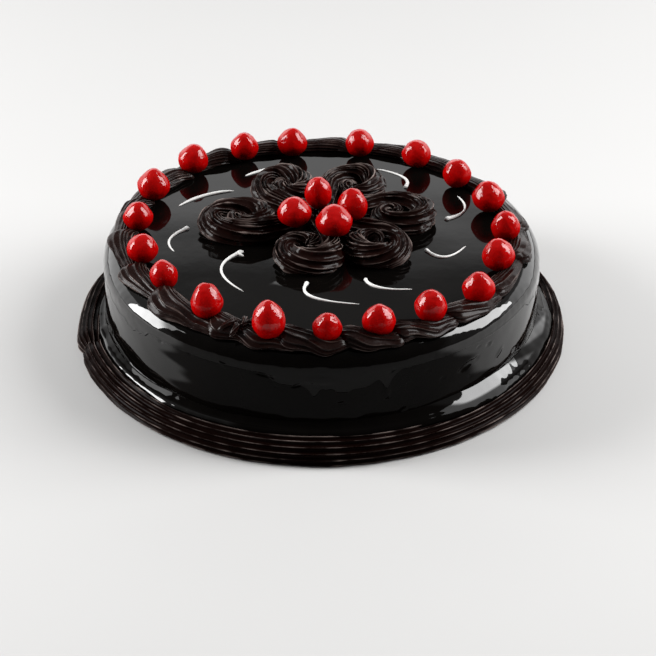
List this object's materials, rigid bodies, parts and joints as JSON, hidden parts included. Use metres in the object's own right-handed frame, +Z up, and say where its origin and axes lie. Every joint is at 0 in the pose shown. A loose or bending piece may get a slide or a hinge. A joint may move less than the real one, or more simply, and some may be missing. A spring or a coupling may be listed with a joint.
{
  "type": "truffle cherry cake",
  "caption": "Round uncut truffle cake in dark mirror glaze, with a piped shell border, a ridged base rope, a flower of rosettes, white drizzle and glazed cherries.",
  "frame": {"origin": "middle of the cake's underside, on the surface it stands on", "axes": "+Z up through the middle of the cake; -Y is the side that faces the viewer"},
  "size_m": [0.2305, 0.2311, 0.0723],
  "materials": {
    "chocolate_glaze": "mirror gloss",
    "piped_ganache": "satin, ridged",
    "glazed_cherry": "wet gloss",
    "white_drizzle": "satin"
  },
  "bodies": {
    "root": {"cake_body": "chocolate_glaze", "base_border": "piped_ganache", "top_border": "piped_ganache", "rosette_1": "piped_ganache", "rosette_2": "piped_ganache", "rosette_3": "piped_ganache", "rosette_4": "piped_ganache", "rosette_5": "piped_ganache", "rosette_6": "piped_ganache", "rim_cherry_01": "glazed_cherry", "rim_cherry_02": "glazed_cherry", "rim_cherry_03": "glazed_cherry", "rim_cherry_04": "glazed_cherry", "rim_cherry_05": "glazed_cherry", "rim_cherry_06": "glazed_cherry", "rim_cherry_07": "glazed_cherry", "rim_cherry_08": "glazed_cherry", "rim_cherry_09": "glazed_cherry", "rim_cherry_10": "glazed_cherry", "rim_cherry_11": "glazed_cherry", "rim_cherry_12": "glazed_cherry", "rim_cherry_13": "glazed_cherry", "rim_cherry_14": "glazed_cherry", "rim_cherry_15": "glazed_cherry", "rim_cherry_16": "glazed_cherry", "rim_cherry_17": "glazed_cherry", "rim_cherry_18": "glazed_cherry", "rim_cherry_19": "glazed_cherry", "centre_cherry_1": "glazed_cherry", "centre_cherry_2": "glazed_cherry", "centre_cherry_3": "glazed_cherry", "centre_cherry_4": "glazed_cherry"}
  },
  "joints": []
}
